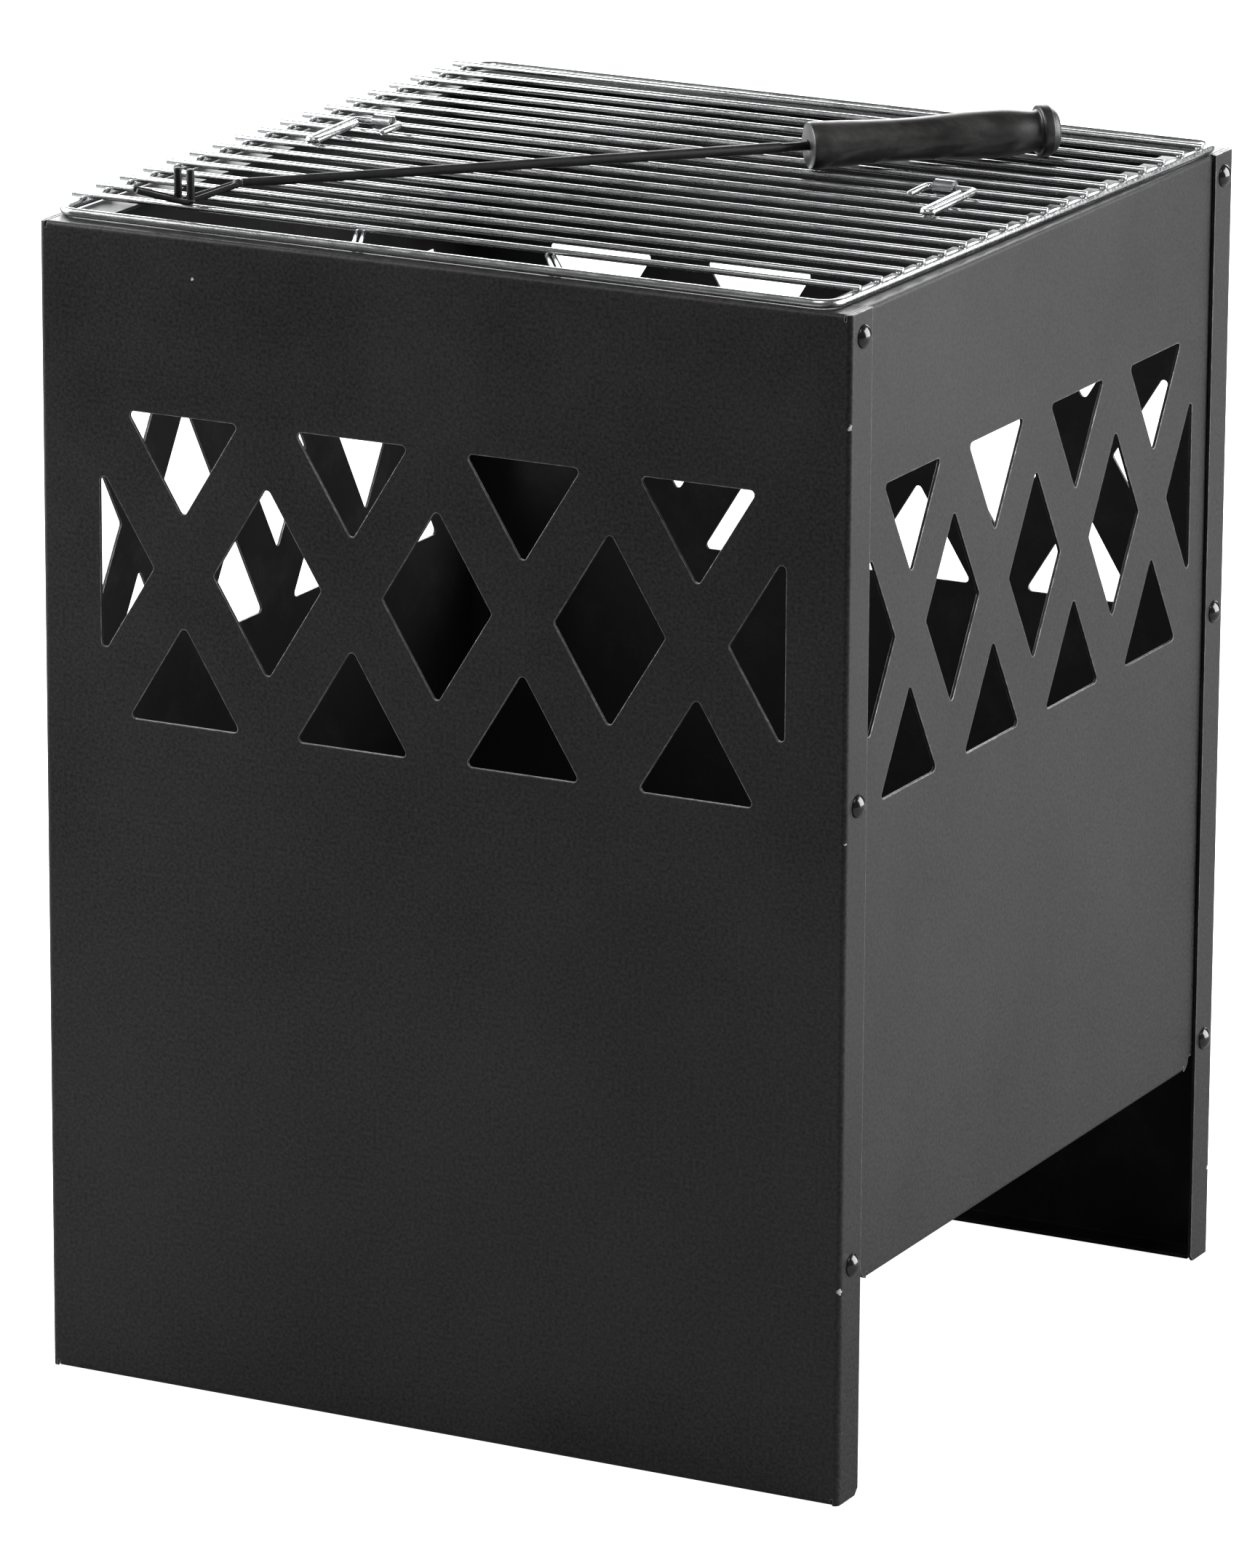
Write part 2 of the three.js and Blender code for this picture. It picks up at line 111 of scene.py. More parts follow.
def roundedPath(corners, bend, steps=6, closed=False):
    # straight runs joined by arcs of the given bend radius
    points = []
    count = len(corners)
    for i, corner in enumerate(corners):
        if not closed and i in (0, count - 1):
            points.append(corner)
            continue
        back = (corners[i - 1] - corner).normalized()
        ahead = (corners[(i + 1) % count] - corner).normalized()
        half = back.angle(ahead) / 2
        reach = bend / tan(half)
        centre = corner + (back + ahead).normalized() * (bend / sin(half))
        start = corner + back * reach - centre
        axis = back.cross(ahead).normalized()
        sweep = pi - 2 * half
        for step in range(steps + 1):
            turn = Matrix.Rotation(-sweep * step / steps, 3, axis)
            points.append(centre + turn @ start)
    return points


def sweepWire(name, path, radius, sides=16, closed=False, tip=0.3):
    # round wire along a path; free ends are slightly rounded by tip, a share of the radius
    count = len(path)
    tangents = []
    for i in range(count):
        if closed:
            ahead, behind = path[(i + 1) % count], path[i - 1]
        else:
            ahead, behind = path[min(i + 1, count - 1)], path[max(i - 1, 0)]
        tangents.append((ahead - behind).normalized())
    side = tangents[0].orthogonal().normalized()
    rings = []
    for i, point in enumerate(path):
        side = (side - tangents[i] * side.dot(tangents[i])).normalized()
        up = tangents[i].cross(side)
        rings.append((point, side.copy(), up, tangents[i]))
    stations = [(point, across, up, radius) for point, across, up, along in rings]
    if not closed:
        first, last = rings[0], rings[-1]
        for share in (0.5, 1):
            shrink = radius * (1 - tip * (1 - sqrt(1 - share * share * 0.99)))
            stations.insert(0, (first[0] - first[3] * tip * radius * share, first[1], first[2], shrink))
            stations.append((last[0] + last[3] * tip * radius * share, last[1], last[2], shrink))
    loops = []
    for point, across, up, size in stations:
        loop = []
        for k in range(sides):
            angle = 2 * pi * k / sides
            loop.append(point + (across * cos(angle) + up * sin(angle)) * size)
        loops.append(loop)
    return meshFromRings(name, loops, closedLoop=closed)


def ringAlongX(along, radius, sides):
    angles = [2 * pi * k / sides for k in range(sides)]
    return [Vector((along, radius * cos(angle), radius * sin(angle))) for angle in angles]


def latheAlongX(name, profile, sides=48):
    # profile is (along, radius) pairs; a radius of 0 becomes a tiny cap round the axis
    smallest = 0.01 * mm
    rings = [ringAlongX(along, max(radius, smallest), sides) for along, radius in profile]
    return meshFromRings(name, rings)


def newGroup(name, inputs, outputs):
    group = bpy.data.node_groups.new(name, "ShaderNodeTree")
    for label, kind, value in inputs:
        socket = group.interface.new_socket(name=label, in_out="INPUT", socket_type=kind)
        socket.default_value = value
    for label, kind in outputs:
        group.interface.new_socket(name=label, in_out="OUTPUT", socket_type=kind)
    return group, group.nodes.new("NodeGroupInput"), group.nodes.new("NodeGroupOutput")


def mathNode(tree, operation, a, b=None, clamp=False):
    node = tree.nodes.new("ShaderNodeMath")
    node.operation = operation
    node.use_clamp = clamp
    for index, value in enumerate((a, b)):
        if value is None:
            continue
        if isinstance(value, (int, float)):
            node.inputs[index].default_value = value
        else:
            tree.links.new(value, node.inputs[index])
    return node.outputs[0]


def noiseNode(tree, scale, detail=4.0, roughness=0.55, stretch=(1, 1, 1)):
    place = tree.nodes.new("ShaderNodeTexCoord")
    mapping = tree.nodes.new("ShaderNodeMapping")
    mapping.inputs["Scale"].default_value = stretch
    noise = tree.nodes.new("ShaderNodeTexNoise")
    noise.inputs["Detail"].default_value = detail
    noise.inputs["Roughness"].default_value = roughness
    if isinstance(scale, (int, float)):
        noise.inputs["Scale"].default_value = scale
    else:
        tree.links.new(scale, noise.inputs["Scale"])
    tree.links.new(place.outputs["Object"], mapping.inputs["Vector"])
    tree.links.new(mapping.outputs["Vector"], noise.inputs["Vector"])
    return noise.outputs["Fac"]


def rangeNode(tree, value, low, high, outLow=0.0, outHigh=1.0):
    node = tree.nodes.new("ShaderNodeMapRange")
    tree.links.new(value, node.inputs["Value"])
    for label, number in (("From Min", low), ("From Max", high), ("To Min", outLow), ("To Max", outHigh)):
        if isinstance(number, (int, float)):
            node.inputs[label].default_value = number
        else:
            tree.links.new(number, node.inputs[label])
    return node.outputs["Result"]


def blendValues(tree, a, b, share):
    # share of a, and the rest of b
    first = mathNode(tree, "MULTIPLY", a, share)
    return mathNode(tree, "ADD", first, mathNode(tree, "MULTIPLY", b, round(1 - share, 2)))


def mixColour(tree, factor, a, b):
    node = tree.nodes.new("ShaderNodeMix")
    node.data_type = "RGBA"
    for label, value in (("Factor", factor), ("A", a), ("B", b)):
        kind = "VALUE" if label == "Factor" else "RGBA"
        socket = next(entry for entry in node.inputs if entry.name == label and entry.type == kind)
        if isinstance(value, (int, float)):
            socket.default_value = value
        elif isinstance(value, tuple):
            socket.default_value = (*value, 1)
        else:
            tree.links.new(value, socket)
    return next(entry for entry in node.outputs if entry.type == "RGBA")


def buildEdgeWearAndSheen():
    # 1 on worn edges, broken up by noise; the noise never goes below 0.3, so every edge and fold also gets a
    # painted highlight, a light sheen
    group, enter, leave = newGroup(
        "edgeWearAndSheen",
        [("Width", "NodeSocketFloat", 0.0006), ("Amount", "NodeSocketFloat", 0.5)],
        [("Mask", "NodeSocketFloat")])
    bevel = group.nodes.new("ShaderNodeBevel")
    bevel.samples = 4
    group.links.new(enter.outputs["Width"], bevel.inputs["Radius"])
    geometry = group.nodes.new("ShaderNodeNewGeometry")
    dot = group.nodes.new("ShaderNodeVectorMath")
    dot.operation = "DOT_PRODUCT"
    group.links.new(bevel.outputs["Normal"], dot.inputs[0])
    group.links.new(geometry.outputs["Normal"], dot.inputs[1])
    edge = rangeNode(group, dot.outputs["Value"], 0.995, 0.86)
    breaks = rangeNode(group, noiseNode(group, 160, 5, 0.7), 0.42, 0.62, 0.3, 1.0)
    wornAndSheen = mathNode(group, "MULTIPLY", edge, breaks)
    mask = mathNode(group, "MULTIPLY", wornAndSheen, enter.outputs["Amount"], clamp=True)
    group.links.new(mask, leave.inputs["Mask"])
    return group


def buildCoatGrain():
    # the fine pebbled skin of a sprayed coat, and the slow drift of its gloss
    group, enter, leave = newGroup(
        "coatGrain",
        [("Grain Scale", "NodeSocketFloat", 1600.0), ("Gloss Low", "NodeSocketFloat", 0.4),
         ("Gloss High", "NodeSocketFloat", 0.55)],
        [("Height", "NodeSocketFloat"), ("Roughness", "NodeSocketFloat"), ("Speckle", "NodeSocketFloat")])
    fine = noiseNode(group, enter.outputs["Grain Scale"], 3, 0.6)
    pebble = noiseNode(group, 620, 2, 0.6)
    height = blendValues(group, fine, pebble, 0.6)
    drift = noiseNode(group, 9, 5, 0.62)
    patches = noiseNode(group, 55, 4, 0.6)
    blend = blendValues(group, drift, patches, 0.6)
    gloss = rangeNode(group, blend, 0.35, 0.65, enter.outputs["Gloss Low"], enter.outputs["Gloss High"])
    group.links.new(height, leave.inputs["Height"])
    group.links.new(gloss, leave.inputs["Roughness"])
    tone = blendValues(group, pebble, drift, 0.75)
    group.links.new(rangeNode(group, tone, 0.36, 0.64), leave.inputs["Speckle"])
    return group


def buildDust():
    # pale dust that settles on upward faces
    group, enter, leave = newGroup(
        "dust", [("Amount", "NodeSocketFloat", 0.2)], [("Mask", "NodeSocketFloat")])
    geometry = group.nodes.new("ShaderNodeNewGeometry")
    split = group.nodes.new("ShaderNodeSeparateXYZ")
    group.links.new(geometry.outputs["Normal"], split.inputs[0])
    upward = rangeNode(group, split.outputs["Z"], 0.35, 1.0)
    speckle = rangeNode(group, noiseNode(group, 240, 6, 0.75), 0.42, 0.72)
    settled = mathNode(group, "MULTIPLY", upward, speckle)
    mask = mathNode(group, "MULTIPLY", settled, enter.outputs["Amount"], clamp=True)
    group.links.new(mask, leave.inputs["Mask"])
    return group


def buildChip():
    # a small ragged chip in the coat round one place
    group, enter, leave = newGroup(
        "chip", [("Place", "NodeSocketVector", (0, 0, 0)), ("Radius", "NodeSocketFloat", 0.001)],
        [("Mask", "NodeSocketFloat")])
    place = group.nodes.new("ShaderNodeTexCoord")
    gap = group.nodes.new("ShaderNodeVectorMath")
    gap.operation = "DISTANCE"
    group.links.new(place.outputs["Object"], gap.inputs[0])
    group.links.new(enter.outputs["Place"], gap.inputs[1])
    outline = rangeNode(group, noiseNode(group, 900, 3, 0.6), 0.3, 0.7, 0.4, 1.3)
    ragged = mathNode(group, "MULTIPLY", outline, enter.outputs["Radius"])
    group.links.new(mathNode(group, "LESS_THAN", gap.outputs["Value"], ragged), leave.inputs["Mask"])
    return group


def buildShadeAndSoot():
    # painted shade: faces that look in towards the middle of the box go near black, in uneven patches; on the
    # tray this also stands for soot
    group, enter, leave = newGroup(
        "shadeAndSoot", [("Amount", "NodeSocketFloat", 0.9)], [("Mask", "NodeSocketFloat")])
    geometry = group.nodes.new("ShaderNodeNewGeometry")
    place = group.nodes.new("ShaderNodeTexCoord")
    level = group.nodes.new("ShaderNodeVectorMath")
    level.operation = "MULTIPLY"
    level.inputs[1].default_value = (1, 1, 0)
    group.links.new(place.outputs["Object"], level.inputs[0])
    dot = group.nodes.new("ShaderNodeVectorMath")
    dot.operation = "DOT_PRODUCT"
    group.links.new(geometry.outputs["Normal"], dot.inputs[0])
    group.links.new(level.outputs["Vector"], dot.inputs[1])
    inward = rangeNode(group, dot.outputs["Value"], -0.02, -0.1)
    unevenness = rangeNode(group, noiseNode(group, 26, 6, 0.65), 0.3, 0.5, 0.65, 1.0)
    darkened = mathNode(group, "MULTIPLY", inward, unevenness)
    mask = mathNode(group, "MULTIPLY", darkened, enter.outputs["Amount"], clamp=True)
    group.links.new(mask, leave.inputs["Mask"])
    return group


edgeWearAndSheen = buildEdgeWearAndSheen()
coatGrain = buildCoatGrain()
dustFall = buildDust()
shadeAndSootMark = buildShadeAndSoot()
chipMark = buildChip()


def startMaterial(name):
    material = bpy.data.materials.new(name)
    material.use_nodes = True
    tree = material.node_tree
    shader = next(node for node in tree.nodes if node.type == "BSDF_PRINCIPLED")
    return material, tree, shader


def placeGroup(tree, group, **values):
    node = tree.nodes.new("ShaderNodeGroup")
    node.node_tree = group
    for label, value in values.items():
        node.inputs[label.replace("_", " ")].default_value = value
    return node


def bumpInto(tree, shader, height, strength, distance):
    bump = tree.nodes.new("ShaderNodeBump")
    bump.inputs["Strength"].default_value = strength
    bump.inputs["Distance"].default_value = distance
    tree.links.new(height, bump.inputs["Height"])
    tree.links.new(bump.outputs["Normal"], shader.inputs["Normal"])


def coatedMetal(name, look):
    # a sprayed or dipped coat over steel, rubbed through along its edges, with a painted highlight along
    # every edge and fold
    material, tree, shader = startMaterial(name)
    grain = placeGroup(tree, coatGrain, Grain_Scale=look["grainScale"], Gloss_Low=look["gloss"][0],
                       Gloss_High=look["gloss"][1])
    wearAndSheen = placeGroup(tree, edgeWearAndSheen, Width=look["wearAndSheenWidth"], Amount=look["wearAndSheen"])
    dust = placeGroup(tree, dustFall, Amount=look["dust"])
    colour = mixColour(tree, grain.outputs["Speckle"], look["colour"], look["colourHigh"])
    colour = mixColour(tree, dust.outputs["Mask"], colour, look["dustColour"])
    # edges go to the bare colour: worn steel, and a painted highlight along every edge and fold
    colour = mixColour(tree, wearAndSheen.outputs["Mask"], colour, look["bareAndSheenColour"])
    for place, radius in look.get("chips", ()):
        chip = placeGroup(tree, chipMark, Place=place, Radius=radius)
        colour = mixColour(tree, chip.outputs["Mask"], colour, look["bareAndSheenColour"])
    # inward faces go near black: painted shade inside the box, and soot on the tray
    shadeAndSoot = placeGroup(tree, shadeAndSootMark, Amount=look["shadeAndSoot"])
    colour = mixColour(tree, shadeAndSoot.outputs["Mask"], colour, look["shadeAndSootColour"])
    tree.links.new(colour, shader.inputs["Base Color"])
    matt = mathNode(tree, "ADD", mathNode(tree, "MULTIPLY", dust.outputs["Mask"], 0.25),
                    mathNode(tree, "MULTIPLY", shadeAndSoot.outputs["Mask"], 0.5))
    rough = mathNode(tree, "ADD", grain.outputs["Roughness"], matt, clamp=True)
    tree.links.new(rough, shader.inputs["Roughness"])
    tree.links.new(mathNode(tree, "MULTIPLY", wearAndSheen.outputs["Mask"], 0.8), shader.inputs["Metallic"])
    shader.inputs["Specular IOR Level"].default_value = look["specular"]
    bumpInto(tree, shader, grain.outputs["Height"], look["bump"], look["bumpDepth"])
    return material


def platedMetal(name, look):
    # bright plating with fine handling marks and a little bloom
    material, tree, shader = startMaterial(name)
    marks = noiseNode(tree, look["markScale"], 5, 0.65, look["markStretch"])
    bloom = noiseNode(tree, 110, 5, 0.7)
    blend = blendValues(tree, marks, bloom, 0.5)
    tree.links.new(rangeNode(tree, blend, 0.38, 0.66, *look["gloss"]), shader.inputs["Roughness"])
    colour = mixColour(tree, rangeNode(tree, bloom, 0.35, 0.7), look["colour"], look["colourLow"])
    tree.links.new(colour, shader.inputs["Base Color"])
    shader.inputs["Metallic"].default_value = 1.0
    bumpInto(tree, shader, marks, look["bump"], look["bumpDepth"])
    return material


finishLooks = {
    "blackCoat": {"colour": (0.003, 0.003, 0.0032), "colourHigh": (0.024, 0.024, 0.0245),
                  "gloss": (0.35, 0.44), "grainScale": 1500.0, "wearAndSheenWidth": 0.0008, "wearAndSheen": 1.0,
                  # the edge colour stands for worn steel and for a painted highlight along cut edges and
                  # folds
                  "bareAndSheenColour": (0.55, 0.55, 0.55),
                  # on this coat the shade-and-soot colour is painted shade inside the box
                  "dust": 0.1, "dustColour": (0.2, 0.195, 0.185), "shadeAndSoot": 0.95,
                  "shadeAndSootColour": (0.004, 0.004, 0.004),
                  "specular": 0.38, "bump": 0.45, "bumpDepth": 0.00018,
                  "chips": (((0.1995, -0.1995, 0.486), 0.0013), ((0.1995, -0.1995, 0.0993), 0.0016),
                            ((0.1995, -0.1995, 0.302), 0.0009), ((-0.122, -0.2, 0.5165), 0.0008),
                            ((0.2, 0.1975, 0.0424), 0.0012), ((0.061, -0.2, 0.318), 0.0006))},
    "blackBolt": {"colour": (0.004, 0.004, 0.004), "colourHigh": (0.008, 0.008, 0.008), "gloss": (0.1, 0.2),
                  "grainScale": 2600.0, "wearAndSheenWidth": 0.0004, "wearAndSheen": 0.3, "bareAndSheenColour": (0.3, 0.3, 0.3),
                  "dust": 0.08, "dustColour": (0.2, 0.195, 0.185), "shadeAndSoot": 0.0,
                  "shadeAndSootColour": (0.004, 0.004, 0.004), "specular": 0.8, "bump": 0.1,
                  "bumpDepth": 0.00008},
    "blackRod": {"colour": (0.005, 0.005, 0.005), "colourHigh": (0.011, 0.011, 0.0105), "gloss": (0.36, 0.52),
                 "grainScale": 2200.0, "wearAndSheenWidth": 0.0005, "wearAndSheen": 0.5, "bareAndSheenColour": (0.25, 0.24, 0.23),
                 "dust": 0.12, "dustColour": (0.2, 0.195, 0.185), "shadeAndSoot": 0.0,
                 "shadeAndSootColour": (0.004, 0.004, 0.004), "specular": 0.3, "bump": 0.3,
                 "bumpDepth": 0.00015},
    "rawTray": {"colour": (0.02, 0.019, 0.018), "colourHigh": (0.045, 0.038, 0.032), "gloss": (0.5, 0.75),
                "grainScale": 900.0, "wearAndSheenWidth": 0.0008, "wearAndSheen": 0.6, "bareAndSheenColour": (0.2, 0.18, 0.16),
                "dust": 0.35, "dustColour": (0.12, 0.11, 0.1), "shadeAndSoot": 0.6,
                "shadeAndSootColour": (0.006, 0.006, 0.006), "specular": 0.4, "bump": 0.4,
                "bumpDepth": 0.0003},
}
platingLooks = {
    "chromeWire": {"colour": (0.72, 0.73, 0.74), "colourLow": (0.42, 0.425, 0.43), "gloss": (0.16, 0.36),
                   "markScale": 600, "markStretch": (0.15, 1, 1), "bump": 0.12, "bumpDepth": 0.00006},
    "zincNut": {"colour": (0.5, 0.5, 0.5), "colourLow": (0.34, 0.33, 0.31), "gloss": (0.28, 0.45),
                "markScale": 900, "markStretch": (1, 1, 1), "bump": 0.25, "bumpDepth": 0.0001},
}
blackCoat = coatedMetal("blackCoat", finishLooks["blackCoat"])
blackBolt = coatedMetal("blackBolt", finishLooks["blackBolt"])
blackRod = coatedMetal("blackRod", finishLooks["blackRod"])
rawTray = coatedMetal("rawTray", finishLooks["rawTray"])
chromeWire = platedMetal("chromeWire", platingLooks["chromeWire"])
zincNut = platedMetal("zincNut", platingLooks["zincNut"])


def lacqueredGrip():
    # black lacquer over turned wood: faint grain along the handle and hazy smears
    look = {"colour": (0.011, 0.011, 0.0105), "colourHigh": (0.034, 0.0335, 0.032), "gloss": (0.34, 0.5)}
    material, tree, shader = startMaterial("blackGrip")
    place = tree.nodes.new("ShaderNodeTexCoord")
    turn = tree.nodes.new("ShaderNodeMapping")
    turn.inputs["Rotation"].default_value = (0, 0, -lifter["turn"])
    turn.inputs["Scale"].default_value = (14, 420, 420)
    grain = tree.nodes.new("ShaderNodeTexNoise")
    grain.inputs["Scale"].default_value = 1.0
    grain.inputs["Detail"].default_value = 5
    grain.inputs["Roughness"].default_value = 0.6
    tree.links.new(place.outputs["Object"], turn.inputs["Vector"])
    tree.links.new(turn.outputs["Vector"], grain.inputs["Vector"])
    smear = noiseNode(tree, 65, 5, 0.6)
    haze = mathNode(tree, "MULTIPLY", grain.outputs["Fac"], smear)
    tree.links.new(mixColour(tree, rangeNode(tree, haze, 0.18, 0.42), look["colour"], look["colourHigh"]),
                   shader.inputs["Base Color"])
    tree.links.new(rangeNode(tree, smear, 0.35, 0.68, *look["gloss"]), shader.inputs["Roughness"])
    shader.inputs["Specular IOR Level"].default_value = 0.5
    shader.inputs["Coat Weight"].default_value = 0.08
    shader.inputs["Coat Roughness"].default_value = 0.3
    bumpInto(tree, shader, grain.outputs["Fac"], 0.18, 0.00008)
    return material


# sheet walls: a flat blank with its cut-outs is folded along its bends
def roundedCorners(corners, radius, steps=5):
    path = roundedPath([Vector((*corner, 0)) for corner in corners], radius, steps, closed=True)
    return [(point.x, point.y) for point in path]


def latticeOpenings(lattice, shift):
    # u runs along the wall and v is the height
    pitch, slope, half = lattice["pitch"], lattice["slope"], lattice["stripHalf"]
    start = -pitch * lattice["crosses"] / 2
    apex = half / slope
    baseHalf = (lattice["halfHeight"] - apex) * slope
    sideHalf = pitch / 2 - half
    tall = sideHalf / slope
    cuts = []
    for i in range(lattice["crosses"]):
        u = start + pitch * (i + 0.5)
        for up in (1, -1):
            base = lattice["halfHeight"] * up
            cuts.append([(u - baseHalf, base), (u + baseHalf, base), (u, apex * up)])
    for i in range(1, lattice["crosses"]):
        u = start + pitch * i
        cuts.append([(u, tall), (u + sideHalf, 0), (u, -tall), (u - sideHalf, 0)])
    for side in (1, -1):
        u = start * side
        cuts.append([(u, tall), (u, -tall), (u + sideHalf * side, 0)])
    placed = []
    for cut in cuts:
        moved = [(u + shift, v + lattice["middle"]) for u, v in cut]
        placed.append(roundedCorners(moved, lattice["corner"]))
    return placed


def roundHole(u, v, radius, steps=20):
    angles = [2 * pi * i / steps for i in range(steps)]
    return [(u + radius * cos(angle), v + radius * sin(angle)) for angle in angles]


def flatBlank(name, outline, holes, thickness, edge):
    # a filled curve gives the sheet its true thickness and slightly broken edges
    curve = bpy.data.curves.new(name, "CURVE")
    curve.dimensions = "2D"
    curve.fill_mode = "BOTH"
    curve.extrude = thickness / 2 - edge
    curve.bevel_depth = edge
    curve.bevel_resolution = 1
    curve.offset = -edge
    for loop in [outline] + holes:
        spline = curve.splines.new("POLY")
        spline.points.add(len(loop) - 1)
        for point, (u, v) in zip(spline.points, loop):
            point.co = (u, v, 0, 1)
        spline.use_cyclic_u = True
    carrier = bpy.data.objects.new(name, curve)
    bpy.context.scene.collection.objects.link(carrier)
    bpy.context.view_layer.update()
    mesh = bpy.data.meshes.new_from_object(carrier.evaluated_get(bpy.context.evaluated_depsgraph_get()))
    bpy.data.objects.remove(carrier)
    bpy.data.curves.remove(curve)
    work = bmesh.new()
    work.from_mesh(mesh)
    bpy.data.meshes.remove(mesh)
    bmesh.ops.remove_doubles(work, verts=work.verts, dist=2e-6)
    return work


def scoreLines(work, axis, positions):
    direction = Vector((1, 0, 0)) if axis == 0 else Vector((0, 1, 0))
    for position in positions:
        geometry = work.verts[:] + work.edges[:] + work.faces[:]
        bmesh.ops.bisect_plane(work, geom=geometry, dist=1e-7,
                               plane_co=direction * position, plane_no=direction)


def foldLines(fold, thickness):
    # lines across a bend, with one more on each side that keeps the flats flat
    arc = (fold["radius"] - thickness / 2) * pi / 2
    lines = [fold["at"] + fold["side"] * arc * i / fold["steps"] for i in range(fold["steps"] + 1)]
    beside = 0.4 * mm
    lines.append(fold["at"] - fold["side"] * beside)
    lines.append(fold["at"] + fold["side"] * (arc + beside))
    return lines


def foldPoint(distance, height, radius, thickness):
    # from the distance past a bend's start and the height above mid-sheet: the run out and the depth in
    middle = radius - thickness / 2
    arc = middle * pi / 2
    if distance <= 0:
        return distance, -height
    if distance < arc:
        angle = distance / middle
        return (middle + height) * sin(angle), middle - (middle + height) * cos(angle)
    return middle + height, middle + distance - arc


def foldSheet(work, folds, thickness):
    for fold in folds:
        scoreLines(work, fold["axis"], foldLines(fold, thickness))
    for vert in work.verts:
        u, v, height = vert.co
        place = Vector((u, thickness / 2 - height, v))
        for fold in folds:
            along, across = (u, v) if fold["axis"] == 0 else (v, u)
            distance = (along - fold["at"]) * fold["side"]
            if distance <= 0 or abs(across) > fold.get("reach", 10):
                continue
            run, depth = foldPoint(distance, height, fold["radius"], thickness)
            outward = fold["at"] + fold["side"] * run
            if fold["axis"] == 0:
                place.x = outward
            else:
                place.z = outward
            place.y = thickness / 2 + depth
        vert.co = place


def finishSheet(name, work):
    bmesh.ops.recalc_face_normals(work, faces=work.faces)
    mesh = bpy.data.meshes.new(name)
    work.to_mesh(mesh)
    work.free()
    return mesh


sheet = {"thickness": 1.5 * mm, "edge": 0.18 * mm, "clearance": 0.3 * mm}
box = {"half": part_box("front_plate")[1].x, "height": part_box("front_plate")[1].z}
lattice = {"pitch": 85 * mm, "crosses": 4, "middle": 383 * mm, "halfHeight": 70.5 * mm, "slope": 0.62,
           "stripHalf": 15.2 * mm, "corner": 2 * mm}
boltPlaces = {"inset": box["half"] - abs(sum(corner.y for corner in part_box("bolt_front_right_low")) / 2),
              "heights": {level: sum(corner.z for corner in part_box("bolt_front_right_" + level)) / 2
                          for level in ("low", "middle", "top")},
              "hole": 3.3 * mm}
channel = {"bend": 2.5 * mm, "flange": 20 * mm, "rimBend": 2.2 * mm, "rim": 20 * mm, "foot": 16 * mm,
           "tabHalf": 196.4 * mm, "slit": 0.7 * mm, "footCorner": 3 * mm}
panel = {"rim": 20 * mm, "rimHalf": 179.7 * mm, "ledgeHalf": 170 * mm, "bend": 2 * mm,
         "bottom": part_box("right_panel")[0].z, "ear": 176 * mm, "corner": 6 * mm, "latticeShift": -7 * mm}


def bendAllowance(radius):
    return (radius - sheet["thickness"] / 2) * pi / 2


def makeChannel(name, turned):
    half, height = box["half"], box["height"]
    sideStart = half - channel["bend"]
    blankHalf = sideStart + bendAllowance(channel["bend"]) + channel["flange"] - channel["bend"]
    rimStart = height - channel["rimBend"]
    rimEnd = rimStart + bendAllowance(channel["rimBend"]) + channel["rim"] - channel["rimBend"]
    footStart = channel["rimBend"]
    footEnd = footStart - bendAllowance(channel["rimBend"]) - channel["foot"] + channel["rimBend"]
    tab, slit = channel["tabHalf"], channel["slit"]
    rightSide = [
        (tab, rimEnd), (tab, rimStart - slit), (tab + slit, rimStart - slit), (tab + slit, height),
        (blankHalf, height), (blankHalf, channel["footCorner"]), (blankHalf - channel["footCorner"], 0),
        (tab + slit, 0), (tab + slit, footStart + slit), (tab, footStart + slit), (tab, footEnd)]
    outline = rightSide + [(-u, v) for u, v in reversed(rightSide)]
    holes = latticeOpenings(lattice, 0)
    boltRun = sideStart + bendAllowance(channel["bend"]) + boltPlaces["inset"] - channel["bend"]
    for z in boltPlaces["heights"].values():
        holes += [roundHole(boltRun, z, boltPlaces["hole"]), roundHole(-boltRun, z, boltPlaces["hole"])]
    work = flatBlank(name, outline, holes, sheet["thickness"], sheet["edge"])
    folds = [{"axis": 0, "at": side * sideStart, "side": side, "radius": channel["bend"], "steps": 8}
             for side in (1, -1)]
    folds.append({"axis": 1, "at": rimStart, "side": 1, "radius": channel["rimBend"], "steps": 7,
                  "reach": tab + slit / 2})
    folds.append({"axis": 1, "at": footStart, "side": -1, "radius": channel["rimBend"], "steps": 7,
                  "reach": tab + slit / 2})
    foldSheet(work, folds, sheet["thickness"])
    mesh = finishSheet(name, work)
    mesh.transform(Matrix.Rotation(pi if turned else 0, 4, "Z"))
    return mesh


